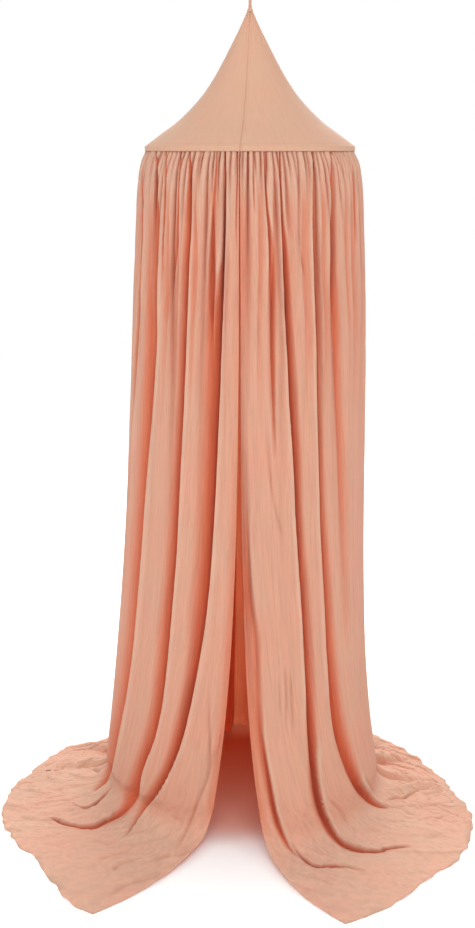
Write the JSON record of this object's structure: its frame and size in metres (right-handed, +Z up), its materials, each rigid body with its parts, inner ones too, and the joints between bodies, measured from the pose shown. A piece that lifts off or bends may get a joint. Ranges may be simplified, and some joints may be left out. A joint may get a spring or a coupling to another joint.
{
  "type": "bed crown canopy",
  "caption": "Tent-topped bed canopy on a round hoop, hung by a looped cord, with gathered curtains that part in front and trail on the floor.",
  "frame": {"origin": "centre of the ceiling plate's top face, which lies on the ceiling", "axes": "+Z up into the ceiling; -Y is the front, where the curtains part; +X is the right as seen from the front"},
  "size_m": [1.1866, 1.2455, 2.1198],
  "materials": {
    "plate_steel": "satin nickel plate",
    "screw_zinc": "zinc plated",
    "hook_steel": "satin nickel plate",
    "cord_cotton": "braided cotton",
    "crown_muslin": "plain-woven cotton muslin",
    "casing_muslin": "plain-woven cotton muslin",
    "rod_steel": "grey lacquered spring steel",
    "sleeve_brass": "drawn tube",
    "curtain_muslin": "crinkled cotton muslin"
  },
  "bodies": {
    "ceiling_fixing": {"ceiling_plate": "plate_steel", "plate_screw_left": "screw_zinc", "plate_screw_right": "screw_zinc"},
    "hook": {"ceiling_hook": "hook_steel"},
    "cord": {"hanging_cord": "cord_cotton"},
    "canopy": {"crown_gore_front_right": "crown_muslin", "crown_gore_back_right": "crown_muslin", "crown_gore_back_left": "crown_muslin", "crown_gore_front_left": "crown_muslin", "hoop_rod_right": "rod_steel", "hoop_rod_back": "rod_steel", "hoop_rod_left": "rod_steel", "hoop_rod_front": "rod_steel", "hoop_sleeve_front_right": "sleeve_brass", "hoop_sleeve_back_right": "sleeve_brass", "hoop_sleeve_back_left": "sleeve_brass", "hoop_sleeve_front_left": "sleeve_brass", "hoop_casing": "casing_muslin", "apex_binding": "crown_muslin", "cord_knot": "cord_cotton", "curtain_back_left": "curtain_muslin", "curtain_back_right": "curtain_muslin"},
    "left_curtain": {"curtain_front_left": "curtain_muslin"},
    "right_curtain": {"curtain_front_right": "curtain_muslin"}
  },
  "joints": [
    {"name": "hook_turn", "type": "hinge", "parent": "ceiling_fixing", "child": "hook", "pos_m": [0, 0, 0], "axis": [0, 0, 1], "range_deg": [-180, 180]},
    {"name": "canopy_sway", "type": "hinge", "parent": "hook", "child": "cord", "pos_m": [0, 0, -0.03375], "axis": [0, 1, 0], "range_deg": [-2, 2]},
    {"name": "canopy_nod", "type": "hinge", "parent": "cord", "child": "canopy", "pos_m": [0, 0, -0.11375], "axis": [1, 0, 0], "range_deg": [-2, 2]},
    {"name": "left_curtain_draw", "type": "hinge", "parent": "canopy", "child": "left_curtain", "pos_m": [0, 0, -1.2], "axis": [0, 0, -1], "range_deg": [0, 30], "deforming": ["curtain_front_left"]},
    {"name": "right_curtain_draw", "type": "hinge", "parent": "canopy", "child": "right_curtain", "pos_m": [0, 0, -1.2], "axis": [0, 0, 1], "range_deg": [0, 30], "deforming": ["curtain_front_right"]}
  ]
}
